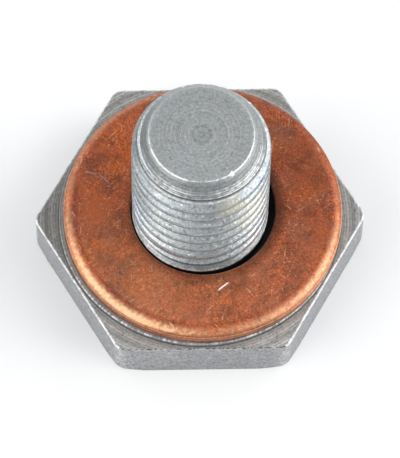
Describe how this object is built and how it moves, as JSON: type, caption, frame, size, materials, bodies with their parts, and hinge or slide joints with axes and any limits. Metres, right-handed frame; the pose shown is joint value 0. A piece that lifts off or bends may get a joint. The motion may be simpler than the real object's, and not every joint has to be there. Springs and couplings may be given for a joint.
{
  "type": "oil drain plug",
  "caption": "Threaded drain plug turned from hexagonal bar, with a flat hex head, a low seating collar, a chamfered nose and a loose copper sealing washer.",
  "frame": {"origin": "centre of the hexagonal head's outer face, which the plug stands on", "axes": "+Z along the shank towards the nose, X through two opposite corners of the head, Y through two opposite flats"},
  "size_m": [0.029, 0.0254, 0.0209],
  "materials": {
    "zinc_steel": "turned steel with a thin dull zinc coat",
    "copper": "stained bare copper, satin"
  },
  "bodies": {
    "root": {"drain_plug": "zinc_steel", "sealing_washer": "copper"}
  },
  "joints": []
}
